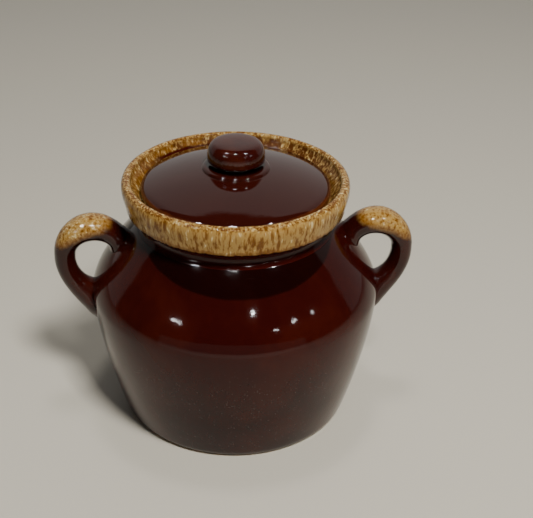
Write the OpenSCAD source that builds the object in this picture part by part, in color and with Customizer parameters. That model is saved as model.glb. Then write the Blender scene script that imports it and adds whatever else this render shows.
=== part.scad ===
// Stoneware bean pot with two ear handles and a loose, recessed lid.
// Millimetres. The origin is the centre of the standing ring on the table, +Z is up,
// and +X runs through the right handle.

/* [Pot] */
// Height from the table to the crown of the rim
pot_h = 160; // [140:1:200]
// Widest diameter of the belly
belly_d = 183; // [160:0.5:225]
// Height of the widest line of the belly
belly_z = 85; // [70:1:95]
// Diameter where the belly turns into the rounding of the base
base_d = 153; // [145:1:165]
// Height of that rounding
base_round = 5.5; // [3:0.5:9]
// Outer diameter of the standing ring
foot_d = 143; // [130:1:144]
// Width of the standing ring
foot_w = 7; // [4:0.5:12]
// Depth of the recess under the base
foot_recess = 2; // [1:0.5:4]
// Thickness of the wall of belly, shoulder and neck
wall = 6.5; // [5:0.1:8]
// Thickness of the floor above the recess
floor_t = 7; // [5:0.5:10]

/* [Neck and collar] */
// Outer diameter of the neck at its narrowest line
neck_d = 119; // [99:0.2:124]
// Drop from the crown of the rim to the foot of the neck
neck_drop = 30; // [26:0.5:40]
// Height of the collar from its lower edge to the crown
collar_h = 19; // [16:0.5:22]
// How far the collar stands out past the neck, just under the lip
collar_out = 10.75; // [9:0.25:14]
// How much further in the collar's lower edge is
collar_taper = 2.25; // [1:0.25:4]
// Width of the rounded lip, from its outer to its inner face
lip_w = 5.9; // [4.5:0.1:7]

/* [Lid seat] */
// Drop from the crown of the rim to the ledge that carries the lid
seat_drop = 11; // [9:0.5:13]
// Width of the ledge, from the throat to the collar
ledge_w = 6.7; // [5:0.1:8]

/* [Lid] */
// Clearance all round between the lid's edge and the collar
lid_gap = 1.2; // [0.8:0.1:2.5]
// Clearance between the lid's rim and the ledge, the glaze on the two faces
seat_gap = 0.3; // [0.2:0.1:0.6]
// Height of the lid's rounded edge
lid_edge_t = 7.6; // [6:0.1:9]
// Width of that rounding
lid_round = 4.2; // [3:0.1:5]
// Rise of the dome from the rounded edge to its top
lid_rise = 9.6; // [8:0.2:13]
// Thickness of the dome
lid_wall = 5.5; // [4:0.5:7]
// Depth of the ring that keeps the lid in the throat
flange_h = 6; // [4:0.5:9]
// Thickness of that ring
flange_t = 4.5; // [3.5:0.5:6]
// Clearance all round between that ring and the throat
flange_gap = 1.2; // [0.8:0.1:2]

/* [Knob] */
// Widest diameter of the knob
knob_d = 35.5; // [30:0.1:43]
// Height of the knob above the top of the dome
knob_h = 16.4; // [14:0.2:20]
// Height of the knob's lower edge above the dome
knob_edge_h = 3.6; // [3:0.1:4.4]
// Height of its widest line above the dome
knob_wide_h = 5.3; // [5:0.1:7]
// Diameter of the knob's neck
knob_neck_d = 28.6; // [24:0.2:30]
// Diameter of the low step the knob stands on
knob_foot_d = 41.6; // [38:0.2:46]
// Height of that step
knob_foot_h = 1.9; // [1:0.1:2.2]
// Diameter of the hollow inside the knob
knob_bore_d = 14; // [10:0.5:18]

/* [Handles] */
// How far a handle stands out past the belly
handle_out = 22.7; // [18:0.1:32]
// Drop from the foot of the neck to the middle of the upper root
root_drop = 16.4; // [14:0.2:20]
// Drop from the widest line of the belly to the middle of the lower root
tail_drop = 13.4; // [10:0.2:20]
// Rise of the handle's crest above the upper root
crest_rise = 24.8; // [20:0.2:30]
// Thickness at the upper root
root_t = 12.4; // [11:0.2:17]
// Thickness at the crest
crest_t = 17.6; // [12:0.2:20]
// Thickness at the outer bend
bend_t = 13.3; // [10:0.1:16.8]
// Thickness halfway down the tail
tail_t = 13; // [9:0.2:14]
// Width of the handle for each millimetre of its thickness
strap = 1.3; // [1:0.05:1.5]
// Thickness at the lower root
foot_t = 16.5; // [12:0.5:20]
// How much a root spreads where it grows out of the pot
root_flare = 3.5; // [1:0.5:4.5]
// How much the underside of the upper root fills the corner of the hole
root_web = 2.8; // [0:0.2:4]
// How much the lower root fills the hole's lower corner
tail_web = 3.4; // [0:0.2:4]

/* [Hidden] */
$fn = 96;
glaze = [0.27, 0.09, 0.06];
glaze_collar = [0.72, 0.52, 0.30];
glaze_handle = [0.45, 0.22, 0.10];
glaze_lid = [0.33, 0.13, 0.09];
glaze_knob = [0.38, 0.15, 0.10];

belly_r = belly_d / 2;
base_r = base_d / 2;
foot_r = foot_d / 2;
neck_r = neck_d / 2;
neck_z = pot_h - neck_drop;
collar_z = pot_h - collar_h;
collar_r = neck_r + collar_out;
seat_z = pot_h - seat_drop;
throat_r = neck_r - wall;
seat_r = throat_r + ledge_w;
lip_in = collar_r - lip_w;
floor_z = foot_recess + floor_t;

// Point and tangent rules for the outlines
function bez(a, b, c, d, n) = [for (i = [1:n]) let (t = i / n, u = 1 - t)
    u * u * u * a + 3 * u * u * t * b + 3 * u * t * t * c + t * t * t * d];
function arc(c, r, a0, a1, n) = [for (i = [0:n]) let (a = a0 + (a1 - a0) * i / n)
    c + r * [cos(a), sin(a)]];
function unit(v) = v / norm(v);
function inset(p, q, k) = let (t = unit(q - p)) [(p[0] + q[0]) / 2 - k * t[1], (p[1] + q[1]) / 2 + k * t[0]];

// Outer face, from the standing ring up to the foot of the neck
base_top = [base_r, base_round];
base_lean = unit([7, 24.5]);
rounding = bez([foot_r, 0], [foot_r + (base_r - foot_r) * 0.62, 0],
    base_top - base_lean * base_round * 0.5, base_top, 4);
belly = bez(base_top, base_top + base_lean * (belly_z - base_round) * 0.32,
    [belly_r, belly_z - (belly_z - base_round) * 0.26], [belly_r, belly_z], 10);
joint_z = neck_z - 1;
shoulder_top = [neck_r + 2.5, joint_z];
shoulder = bez([belly_r, belly_z], [belly_r, belly_z + (neck_z - belly_z) * 0.3],
    shoulder_top + [0.74, -0.67] * (belly_r - neck_r) * 0.34, shoulder_top, 10);
side = concat([[foot_r, 0]], rounding, belly, shoulder);

// Neck and the hollow under the collar
neck_h = collar_z - neck_z;
neck_mid = neck_z + neck_h * 0.31;
neck = concat(bez(shoulder_top, shoulder_top + [-1.5, 1.36], [neck_r, neck_mid - 1.7], [neck_r, neck_mid], 4),
    bez([neck_r, neck_mid], [neck_r, neck_mid + neck_h * 0.21], [neck_r + 2.2, collar_z - neck_h * 0.08],
        [neck_r + 5.4, collar_z], 5));

// Collar with its soft lower edge and the rolled lip
edge_r = 1.6;
low_r = collar_r - collar_taper;
collar = concat(arc([low_r - edge_r, collar_z + edge_r], edge_r, -90, -10, 4),
    bez([low_r, collar_z + 2], [low_r + 0.6, collar_z + 6], [collar_r, pot_h - 9], [collar_r, pot_h - 5], 4),
    bez([collar_r, pot_h - 5], [collar_r, pot_h - 1.6], [collar_r - 1.4, pot_h], [lip_in + 2.5, pot_h], 5),
    bez([lip_in + 2.5, pot_h], [lip_in + 1, pot_h], [lip_in + 0.2, pot_h - 0.9], [lip_in, pot_h - 2.4], 4));

// Tapered seat, ledge and throat
seat = concat(bez([lip_in, pot_h - 2.4], [lip_in - 0.5, pot_h - 5], [seat_r + 0.9, seat_z + 3.5],
        [seat_r, seat_z + 1.2], 4),
    [[seat_r - 1.2, seat_z]],
    arc([throat_r + 1, seat_z - 1], 1, 90, 180, 4));

// Inner face, parallel to the outer one at the thickness of the wall
inner_z = floor_z + 12;
inner_side = [for (i = [len(side) - 1:-1:1]) let (p = inset(side[i - 1], side[i], wall))
    if (p[1] > inner_z && p[0] > throat_r + 1.5) p];
inner_low = inner_side[len(inner_side) - 1];
inner = concat([[throat_r, joint_z]],
    bez([throat_r, joint_z], [throat_r, joint_z - 1.8], inner_side[0] + [-1.6, 1.6], inner_side[0], 3),
    [for (i = [1:len(inner_side) - 1]) inner_side[i]],
    bez(inner_low, inner_low + [-2, -8], [inner_low[0] - 7, floor_z], [inner_low[0] - 20, floor_z], 5),
    [[0, floor_z]]);

pot_outline = concat([[0, foot_recess], [foot_r - foot_w - 2, foot_recess], [foot_r - foot_w, 0]], side, inner);
collar_outline = concat([[throat_r, joint_z], shoulder_top], neck, collar, seat);
// The solid block of the outer form, for what is cut to fit against it
block_outline = concat([[0, 0]], side, neck, collar, [[0, pot_h - 2.4]]);

module pot_body() {
    color(glaze) rotate_extrude() polygon(pot_outline);
}

module pot_collar() {
    color(glaze_collar) rotate_extrude() polygon(collar_outline);
}

// Lid: a cast shell with a rim on the ledge and a ring that drops into the throat
lid_r = seat_r - lid_gap;
lid_z = seat_z + seat_gap;
dome_edge = [lid_r - lid_round, lid_z + lid_edge_t];
dome_top = lid_z + lid_edge_t + lid_rise;
dome_r = (dome_edge[0] * dome_edge[0] + lid_rise * lid_rise) / (2 * lid_rise);
dome_c = dome_top - dome_r;
flange_r = throat_r - flange_gap;
bore_r = knob_bore_d / 2;
function dome(r, k) = dome_c + sqrt((dome_r - k) * (dome_r - k) - r * r);
function dome_line(r0, r1, k, n) = [for (i = [0:n]) let (r = r0 + (r1 - r0) * i / n) [r, dome(r, k)]];
hollow_r = flange_r - flange_t - 3;
knob_foot_r = knob_foot_d / 2;
lid_outline = concat(
    dome_line(bore_r, knob_foot_r, 0, 3),
    [for (i = [1:9]) let (r = knob_foot_r + (dome_edge[0] - knob_foot_r) * i / 9) [r, dome(r, 0)]],
    bez(dome_edge, dome_edge + [lid_round * 0.5, -0.8], [lid_r, lid_z + lid_edge_t * 0.72], [lid_r, lid_z + lid_edge_t * 0.42], 5),
    [[lid_r, lid_z + 0.8], [lid_r - 0.8, lid_z], [flange_r + 1, lid_z]],
    [[flange_r, lid_z - 1], [flange_r - 0.3, lid_z - flange_h + 1.2], [flange_r - 1.5, lid_z - flange_h]],
    [[flange_r - flange_t + 1, lid_z - flange_h], [flange_r - flange_t, lid_z - flange_h + 1]],
    bez([flange_r - flange_t, lid_z - flange_h + 1], [flange_r - flange_t - 0.4, lid_z - 1],
        [hollow_r + 1.4, dome(hollow_r, lid_wall) - 1.2], [hollow_r, dome(hollow_r, lid_wall)], 4),
    [for (i = [1:7]) let (r = hollow_r + (bore_r - hollow_r) * i / 7) [r, dome(r, lid_wall)]]);

module lid() {
    color(glaze_lid) rotate_extrude() polygon(lid_outline);
}

// Knob: a squat button on a short waist that stands on a low step, cast hollow like the lid
knob_r = knob_d / 2;
knob_top = dome_top + knob_h;
edge_z = dome_top + knob_edge_h;
wide_z = dome_top + knob_wide_h;
step_r = knob_foot_r - 4;
step_z = dome(step_r, 0) + knob_foot_h;
waist = [knob_neck_d / 2, (step_z + edge_z) / 2 + 0.2];
knob_outline = concat(
    [for (i = [0:3]) let (r = bore_r + (knob_foot_r - bore_r) * i / 3) [r, dome(r, 0)]],
    bez([knob_foot_r, dome(knob_foot_r, 0)], [knob_foot_r - 0.1, step_z - 0.5], [step_r + 1.8, step_z], [step_r, step_z], 5),
    bez([step_r, step_z], [step_r - 1.5, step_z], [waist[0], waist[1] - 0.9], waist, 3),
    bez(waist, waist + [0, 0.9], [knob_r - 2.4, edge_z - 0.3], [knob_r - 1, edge_z], 3),
    bez([knob_r - 1, edge_z], [knob_r - 0.3, edge_z + 0.2], [knob_r, wide_z - 0.8], [knob_r, wide_z], 3),
    bez([knob_r, wide_z], [knob_r, knob_top - 5], [knob_r - 1.5, knob_top - 2.2], [knob_r - 4.4, knob_top - 0.9], 8),
    bez([knob_r - 4.4, knob_top - 0.9], [knob_r - 7.2, knob_top - 0.2], [5, knob_top], [0, knob_top], 6),
    [[0, knob_top - wall]],
    bez([0, knob_top - wall], [bore_r * 0.6, knob_top - wall], [bore_r, knob_top - wall - 1.6],
        [bore_r, knob_top - wall - 4], 4));

module lid_knob() {
    color(glaze_knob) rotate_extrude() polygon(knob_outline);
}

// Handles: a strap swept along two curves, from the shoulder over the crest and the
// outer bend down to the belly, that spreads at both roots and is cut to the pot's face
function face_r(z) = lookup(z, [for (p = side) [p[1], p[0]]]);
root_z = neck_z - root_drop;
tail_z = belly_z - tail_drop;
bend = [belly_r + handle_out - bend_t / 2, tail_z + (root_z - tail_z) * 0.865];
root = [face_r(root_z) - 6.8, root_z];
tail = [face_r(tail_z) - 2.5, tail_z];
root_dir = unit([16.4, crest_rise]);
path_in = [for (i = [0:2]) root - root_dir * (8 - 4 * i)];
path_up = bez(root, root + [16.4, crest_rise], bend + [0, 15], bend, 20);
path_down = bez(bend, bend - [0, 1.6], [bend[0] + 3.1, tail_z + 18.2], tail, 16);
tail_dir = unit(tail - path_down[14]);
path = concat(path_in, path_up, path_down, [tail + tail_dir * 4, tail + tail_dir * 8]);

rings = len(path);
ring_sides = 28;
run = [for (i = 0, s = 0; i < rings; i = i + 1,
    s = s + (i < rings ? norm(path[min(i, rings - 1)] - path[max(i - 1, 0)]) : 0)) s];
run_at = [run[3], run[13], run[23], run[31], run[rings - 3]];
function half_t(s) = lookup(s, [[run_at[0], root_t / 2], [run_at[1], crest_t / 2],
    [run_at[2], bend_t / 2], [run_at[3], tail_t / 2], [run_at[4], foot_t / 2]]);
// A slow blend of the thicknesses along the run, and the spread at the two roots
function soft_t(s) = (half_t(s - 6) + half_t(s - 3) + half_t(s) + half_t(s + 3) + half_t(s + 6)) / 5;
function upper(s) = exp(-max(0, s - run_at[0] - 6) / 3.5);
function lower(s) = exp(-max(0, run_at[4] - 2 - s) / 4);
function fill(s) = root_flare * (upper(s) * 0.1 + lower(s) * 0.6)
    + root_web * exp(-max(0, s - run_at[0] - 4.5) / 2) + tail_web * exp(-max(0, run_at[4] - 14 - s) / 6);
function ring(i) = let (
        t = unit(path[min(i + 1, rings - 1)] - path[max(i - 1, 0)]),
        n = [-t[1], t[0]],
        a = soft_t(run[i]),
        b = soft_t(run[i]) * strap + root_flare * (upper(run[i]) * 0.75 + lower(run[i]) * 1.2),
        flare = root_flare * (upper(run[i]) + lower(run[i])) * 0.15,
        in_fill = fill(run[i]))
    [for (k = [0:ring_sides - 1]) let (w = 360 * k / ring_sides,
            c = cos(w) * (a + (cos(w) > 0 ? flare : in_fill)))
        [path[i][0] + c * n[0], b * sin(w), path[i][1] + c * n[1]]];

module handle() {
    points = [for (i = [0:rings - 1]) each ring(i)];
    faces = concat(
        [[for (k = [0:ring_sides - 1]) k]],
        [for (i = [0:rings - 2]) for (k = [0:ring_sides - 1]) let (
            a = i * ring_sides + k, b = i * ring_sides + (k + 1) % ring_sides)
            each [[a, a + ring_sides, b], [b, a + ring_sides, b + ring_sides]]],
        [[for (k = [ring_sides - 1:-1:0]) (rings - 1) * ring_sides + k]]);
    difference() {
        polyhedron(points, faces, convexity = 6);
        rotate_extrude() polygon(block_outline);
    }
}

module handle_left() {
    color(glaze_handle) rotate([0, 0, 180]) handle();
}

module handle_right() {
    color(glaze_handle) handle();
}

pot_body();
pot_collar();
handle_left();
handle_right();
lid();
lid_knob();
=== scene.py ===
import math

import bpy
from mathutils import Matrix, Vector


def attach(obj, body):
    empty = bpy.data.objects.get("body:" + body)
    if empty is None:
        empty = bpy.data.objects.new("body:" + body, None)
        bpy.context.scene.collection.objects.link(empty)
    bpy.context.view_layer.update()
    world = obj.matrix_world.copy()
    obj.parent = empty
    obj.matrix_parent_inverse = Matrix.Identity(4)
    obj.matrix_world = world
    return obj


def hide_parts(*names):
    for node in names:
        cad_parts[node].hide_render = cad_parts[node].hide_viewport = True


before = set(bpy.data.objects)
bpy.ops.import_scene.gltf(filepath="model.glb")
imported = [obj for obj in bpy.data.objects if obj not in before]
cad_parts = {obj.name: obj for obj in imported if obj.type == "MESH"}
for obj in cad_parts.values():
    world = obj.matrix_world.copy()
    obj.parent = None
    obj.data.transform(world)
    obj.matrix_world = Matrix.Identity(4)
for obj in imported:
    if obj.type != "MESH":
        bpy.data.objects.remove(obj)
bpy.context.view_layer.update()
mm = 0.001


# studio
studio = {
    "heading": (0.102, 0.9948, 0),      # level, from the camera to the pot
    "across": (0.9948, -0.102, 0),      # level, to the camera's right
    "cameraPlace": (-0.0367, -0.5527, 0.4262),
    "cameraForward": (0.0879, 0.8576, -0.5068),
    "cameraRoll": 1.33,                 # degrees, the photograph leans a little
    "cameraLens": 67.54,                # mm, on the sensor below
    "cameraSensor": 36.0,
    "floorColor": (0.65, 0.62, 0.535),
    "floorRoughness": 0.55,
    "floorSize": 9.0,
    "screenGlow": (0.60, 0.59, 0.56),   # a pale screen behind the pot, as light
    "screenSide": 0.18,                 # how steeply its outline falls back to the sides
    "screenTop": 0.50,                  # and upwards
    "screenSoft": (-0.02, 0.03),        # its soft border
    "screenFade": (0.25, 0.95),         # where it starts and stops fading to the sides
    "screenEnds": 0.55,                 # its strength there
    "screenBounce": 0.45,               # how much of the sky's light reaches dull surfaces
    "roomGlow": (0.040, 0.034, 0.030),  # the dim studio behind the camera
    "backdropGlow": (0.80, 0.79, 0.76), # what the camera sees past the floor
    "lampAim": 0.09,                    # height that the lamps point at
    "lampColor": (1.0, 0.96, 0.90),
    "cardColor": (1.0, 0.92, 0.84),
    # direction (across, away from the camera, up), distance, size, watts
    "topLamp": ((0.0, 0.10, 1.0), 1.3, (0.20, 0.20), 3.0),
    "keyLamp": ((0.28, -0.58, 1.0), 1.6, (0.32, 0.32), 29.5),
    "benchCard": ((0.0, -1.0, 0.0), 0.40, (1.00, 0.18), 0.14),
    "glintDistance": 1.5,
    "glints": (                         # name, direction, size, watts
        ("glintFront", (0.24, -0.73, 0.64), (0.060, 0.035), 1.5),
        ("glintLeft", (-0.64, -0.62, 0.45), (0.220, 0.025), 1.3),
        ("glintRight", (0.68, -0.57, 0.45), (0.070, 0.020), 0.6),
        ("glintSide", (0.84, -0.34, 0.42), (0.030, 0.030), 0.5),
        ("glintLow", (0.45, -0.66, 0.38), (0.090, 0.015), 0.3),
        ("glintHigh", (-0.02, -0.45, 0.89), (0.140, 0.045), 8.0),
        ("glintHighLeft", (-0.47, -0.30, 0.83), (0.120, 0.045), 8.0),
        ("glintHighRight", (0.46, -0.27, 0.85), (0.060, 0.045), 5.0),
    ),
}


def setInput(tree, socket, value):
    # links another node's output, or sets a number, a vector or a colour
    if isinstance(value, bpy.types.NodeSocket):
        tree.links.new(value, socket)
    elif socket.type == "RGBA":
        socket.default_value = (*value, 1.0)
    else:
        socket.default_value = value


def addNode(tree, kind, place, values=None, **settings):
    node = tree.nodes.new(kind)
    node.location = place
    for key, value in settings.items():
        setattr(node, key, value)
    for key, value in (values or {}).items():
        setInput(tree, node.inputs[key], value)
    return node


def doMath(tree, operation, a, b, place, clamp=False):
    node = addNode(tree, "ShaderNodeMath", place, {0: a, 1: b}, operation=operation, use_clamp=clamp)
    return node.outputs[0]


def vectorMath(tree, operation, a, b, place, output="Vector"):
    return addNode(tree, "ShaderNodeVectorMath", place, {0: a, 1: b}, operation=operation).outputs[output]


def ramp(tree, value, low, high, place, outLow=0.0, outHigh=1.0):
    # a soft step from low to high
    limits = {"Value": value, "From Min": low, "From Max": high, "To Min": outLow, "To Max": outHigh}
    node = addNode(tree, "ShaderNodeMapRange", place, limits, interpolation_type="SMOOTHSTEP")
    return node.outputs["Result"]


def mixColor(tree, factor, a, b, place):
    node = addNode(tree, "ShaderNodeMix", place, data_type="RGBA")
    inputs = {socket.identifier: socket for socket in node.inputs}
    for name, value in (("Factor_Float", factor), ("A_Color", a), ("B_Color", b)):
        setInput(tree, inputs[name], value)
    return next(socket for socket in node.outputs if socket.identifier == "Result_Color")


def buildCamera():
    forward = Vector(studio["cameraForward"]).normalized()
    right = forward.cross(Vector((0, 0, 1))).normalized()
    up = right.cross(forward)
    roll = math.radians(studio["cameraRoll"])
    camX = right * math.cos(roll) + up * math.sin(roll)
    camY = up * math.cos(roll) - right * math.sin(roll)
    turn = Matrix((camX, camY, -forward)).transposed().to_4x4()
    data = bpy.data.cameras.new("camera")
    data.lens = studio["cameraLens"]
    data.sensor_width = studio["cameraSensor"]
    data.clip_start = 0.01
    camera = bpy.data.objects.new("camera", data)
    bpy.context.scene.collection.objects.link(camera)
    camera.matrix_world = Matrix.Translation(studio["cameraPlace"]) @ turn
    bpy.context.scene.camera = camera


def buildLamp(name, direction, distance, size, watts, inGloss, color=(1, 1, 1)):
    # a lamp is either a light or a reflection
    across, away, up = direction
    way = Vector(studio["across"]) * across + Vector(studio["heading"]) * away + Vector((0, 0, up))
    way = way.normalized()
    bpy.ops.object.light_add(type="AREA", location=way * distance + Vector((0, 0, studio["lampAim"])))
    lamp = bpy.context.object
    lamp.name = name
    lamp.rotation_euler = (-way).to_track_quat("-Z", "Y").to_euler()
    lamp.data.shape = "RECTANGLE"
    lamp.data.size, lamp.data.size_y = size
    lamp.data.energy = watts
    lamp.data.color = color
    lamp.visible_glossy = inGloss
    lamp.visible_diffuse = not inGloss
    lamp.visible_camera = False


def buildSky():
    # the studio round the pot: a pale screen behind it, a dim room behind the camera
    world = bpy.data.worlds.new("studioSky")
    bpy.context.scene.world = world
    world.use_nodes = True
    tree = world.node_tree
    tree.nodes.clear()
    way = addNode(tree, "ShaderNodeTexCoord", (-1400, 0)).outputs["Generated"]
    away = vectorMath(tree, "DOT_PRODUCT", way, studio["heading"], (-1200, 100), "Value")
    across = vectorMath(tree, "DOT_PRODUCT", way, studio["across"], (-1200, -100), "Value")
    up = addNode(tree, "ShaderNodeSeparateXYZ", (-1200, -300), {0: way}).outputs["Z"]
    aside = doMath(tree, "ABSOLUTE", across, 0, (-1000, -100))
    side = doMath(tree, "MULTIPLY", aside, studio["screenSide"], (-800, -100))
    over = doMath(tree, "MULTIPLY", up, studio["screenTop"], (-800, -300))
    border = doMath(tree, "MAXIMUM", side, over, (-700, -200))
    within = doMath(tree, "SUBTRACT", away, border, (-600, 0))
    screen = ramp(tree, within, *studio["screenSoft"], (-400, 0))
    ends = ramp(tree, aside, *studio["screenFade"], (-400, -300), 1.0, studio["screenEnds"])
    screen = doMath(tree, "MULTIPLY", screen, ends, (-200, -100))
    glow = mixColor(tree, screen, studio["roomGlow"], studio["screenGlow"], (0, 0))
    path = addNode(tree, "ShaderNodeLightPath", (0, 300)).outputs
    color = mixColor(tree, path["Is Camera Ray"], glow, studio["backdropGlow"], (200, 0))
    strength = ramp(tree, path["Is Diffuse Ray"], 0.0, 1.0, (200, 300), 1.0, studio["screenBounce"])
    back = addNode(tree, "ShaderNodeBackground", (400, 0), {"Color": color, "Strength": strength})
    addNode(tree, "ShaderNodeOutputWorld", (600, 0), {"Surface": back.outputs[0]})


def buildFloor():
    bpy.ops.mesh.primitive_plane_add(size=studio["floorSize"], location=(0, 0, 0))
    floor = bpy.context.object
    floor.name = "floor"
    material = bpy.data.materials.new("paleFloor")
    material.use_nodes = True
    shader = material.node_tree.nodes["Principled BSDF"]
    shader.inputs["Base Color"].default_value = (*studio["floorColor"], 1)
    shader.inputs["Roughness"].default_value = studio["floorRoughness"]
    floor.data.materials.append(material)


buildCamera()
buildSky()
buildFloor()
buildLamp("topLamp", *studio["topLamp"], False, studio["lampColor"])
buildLamp("keyLamp", *studio["keyLamp"], False, studio["lampColor"])
# a low pale card near the camera, seen as a veil on the lower belly
buildLamp("benchCard", *studio["benchCard"], True, studio["cardColor"])
# small lamps, seen as bright spots in the glaze
for name, direction, size, watts in studio["glints"]:
    buildLamp(name, direction, studio["glintDistance"], size, watts, True)
print("studio ready")


# outlines, in millimetres (distance from the axis, height)
pot = {
    "height": 160.0,
    "bellyRadius": 91.5,
    "bellyZ": 85.0,
    "baseRadius": 76.5,
    "baseRound": 5.5,
    "baseLean": (7, 24.5),  # direction of the side just above the base
    "footRadius": 71.5,
    "footWidth": 7.0,
    "footRecess": 2.0,
    "wall": 6.5,
    "floor": 7.0,
    "neckRadius": 59.5,
    "neckZ": 130.0,
    "neckRoot": 2.5,        # how much wider the neck is where it meets the shoulder
    "baseRise": 0.32,       # how far the side's curve follows each end, as a share of its height
    "bellyFall": 0.26,
    "bellyRise": 0.30,
    "shoulderRun": 0.34,    # the same for the shoulder below the neck, as a share of its width
    "shoulderLean": (0.74, -0.67),
    "steps": 160,
    "unevenness": 0.12,
    "cloudSize": 0.035,
}

collar = {
    "lowZ": 141.0,
    "outerRadius": 70.25,
    "lowRadius": 68.0,
    "lipInner": 64.35,
    "seatZ": 149.0,
    "seatRadius": 59.7,
    "throatRadius": 53.0,
    "edgeRound": 1.6,
    "steps": 160,
    "unevenness": 0.18,
    "cloudSize": 0.02,
}

lid = {
    "radius": 58.5,
    "z": 149.3,
    "edge": 7.6,            # height of the rounded edge
    "round": 4.2,           # and its width
    "rise": 9.6,
    "wall": 5.5,
    "flangeRadius": 51.8,
    "flangeHeight": 6.0,
    "flangeWidth": 4.5,
    "footRadius": 20.8,     # the low step under the knob
    "footHeight": 1.9,
    "footEdge": 4.0,
    "waistRadius": 14.3,
    "bore": 7.0,
    "steps": 144,
    "unevenness": 0.12,
    "cloudSize": 0.035,
}

knob = {
    "radius": 17.75,
    "height": 16.4,
    "edgeHeight": 3.6,
    "wideHeight": 5.3,
    "wall": 6.5,
    "shoulder": 4.4,        # width of the rounding at the top
    "steps": 96,
    "unevenness": 0.1,
    "cloudSize": 0.012,
}


def bezier(a, b, c, d, n):
    # n points along the curve, without its first
    points = []
    for i in range(1, n + 1):
        t = i / n
        u = 1 - t
        points.append(tuple(
            u ** 3 * a[k] + 3 * u * u * t * b[k] + 3 * u * t * t * c[k] + t ** 3 * d[k] for k in (0, 1)
        ))
    return points


def arc(centre, radius, start, end, n):
    turns = [math.radians(start + (end - start) * i / n) for i in range(n + 1)]
    return [(centre[0] + radius * math.cos(t), centre[1] + radius * math.sin(t)) for t in turns]


def inwards(points, depth):
    # the same line, depth further in
    moved = []
    for p, q in zip(points[1:], points[:-1]):
        run = math.hypot(p[0] - q[0], p[1] - q[1])
        x, z = (p[0] + q[0]) / 2, (p[1] + q[1]) / 2
        moved.append((x - depth * (p[1] - q[1]) / run, z + depth * (p[0] - q[0]) / run))
    return moved


def potSide():
    # outer face from the standing ring to the foot of the neck
    foot = (pot["footRadius"], 0)
    base = (pot["baseRadius"], pot["baseRound"])
    lean = Vector(pot["baseLean"]).normalized()
    step = pot["baseRound"] * 0.5
    rise = (pot["bellyZ"] - pot["baseRound"]) * pot["baseRise"]
    belly = (pot["bellyRadius"], pot["bellyZ"])
    top = (pot["neckRadius"] + pot["neckRoot"], pot["neckZ"] - 1)
    width = (pot["bellyRadius"] - pot["neckRadius"]) * pot["shoulderRun"]
    across, up = pot["shoulderLean"]
    points = [foot]
    points += bezier(
        foot, (foot[0] + (base[0] - foot[0]) * 0.62, 0),
        (base[0] - lean[0] * step, base[1] - lean[1] * step), base, 7,
    )
    points += bezier(
        base, (base[0] + lean[0] * rise, base[1] + lean[1] * rise),
        (belly[0], belly[1] - (belly[1] - base[1]) * pot["bellyFall"]), belly, 22,
    )
    points += bezier(
        belly, (belly[0], belly[1] + (pot["neckZ"] - belly[1]) * pot["bellyRise"]),
        (top[0] + across * width, top[1] + up * width), top, 24,
    )
    return points


def potOutline():
    side = potSide()
    throat = collar["throatRadius"]
    joint = pot["neckZ"] - 1
    recess = pot["footRecess"]
    floorZ = recess + pot["floor"]
    ringIn = pot["footRadius"] - pot["footWidth"]
    inner = inwards(side, pot["wall"])
    inner = [p for p in reversed(inner) if p[1] > floorZ + 12 and p[0] > throat + 1.5]
    low = inner[-1]
    # underside and standing ring
    points = [(0, recess), (ringIn - 3, recess)]
    points += bezier(points[-1], (points[-1][0] + 2, recess), (ringIn + 0.3, 0.9), (ringIn + 1, 0), 4)
    # outside, up to the throat
    points += side + [(throat, joint)]
    # inside, down to the floor
    points += bezier(
        (throat, joint), (throat, joint - 1.8), (inner[0][0] - 1.6, inner[0][1] + 1.6), inner[0], 5,
    )
    points += inner[1:]
    points += bezier(low, (low[0] - 2, low[1] - 8), (low[0] - 7, floorZ), (low[0] - 20, floorZ), 10)
    return points + [(0, floorZ)]


def collarOutline():
    joint = pot["neckZ"] - 1
    neck, low, top = pot["neckRadius"], collar["lowZ"], pot["height"]
    throat, seat, seatZ = collar["throatRadius"], collar["seatRadius"], collar["seatZ"]
    outer, lipIn = collar["outerRadius"], collar["lipInner"]
    lowR, edge = collar["lowRadius"], collar["edgeRound"]
    waist = pot["neckZ"] + 3.4
    # neck
    points = [(throat, joint), (neck + pot["neckRoot"], joint)]
    points += bezier(points[-1], (neck + 1.0, joint + 1.36), (neck, waist - 1.7), (neck, waist), 10)
    points += bezier((neck, waist), (neck, waist + 2.3), (neck + 2.2, low - 0.9), (neck + 5.4, low), 10)
    # collar's outside
    points += arc((lowR - edge, low + edge), edge, -90, -10, 6)
    points += bezier((lowR, low + 2), (lowR + 0.6, low + 6), (outer, top - 9), (outer, top - 5), 10)
    # lip
    points += bezier((outer, top - 5), (outer, top - 1.6), (outer - 1.4, top), (lipIn + 2.5, top), 9)
    points += bezier((lipIn + 2.5, top), (lipIn + 1, top), (lipIn + 0.2, top - 0.9), (lipIn, top - 2.4), 7)
    # inside and seat
    points += bezier(
        (lipIn, top - 2.4), (lipIn - 0.5, top - 5), (seat + 0.9, seatZ + 3.5), (seat, seatZ + 1.2), 7,
    )
    points += [(seat - 1.2, seatZ)] + arc((throat + 1, seatZ - 1), 1, 90, 180, 5)
    return points + [points[0]]


def domeHeight(radius, depth=0.0):
    # height of the lid's dome at that distance from the axis, depth below its outer face
    edge = lid["radius"] - lid["round"]
    ball = (edge * edge + lid["rise"] ** 2) / (2 * lid["rise"])
    return lid["z"] + lid["edge"] + lid["rise"] - ball + math.sqrt((ball - depth) ** 2 - radius * radius)


def waistHeight():
    # where the lid ends and the knob begins
    step = domeHeight(lid["footRadius"] - lid["footEdge"]) + lid["footHeight"]
    return (step + domeHeight(0) + knob["edgeHeight"]) / 2 + 0.2


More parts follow.
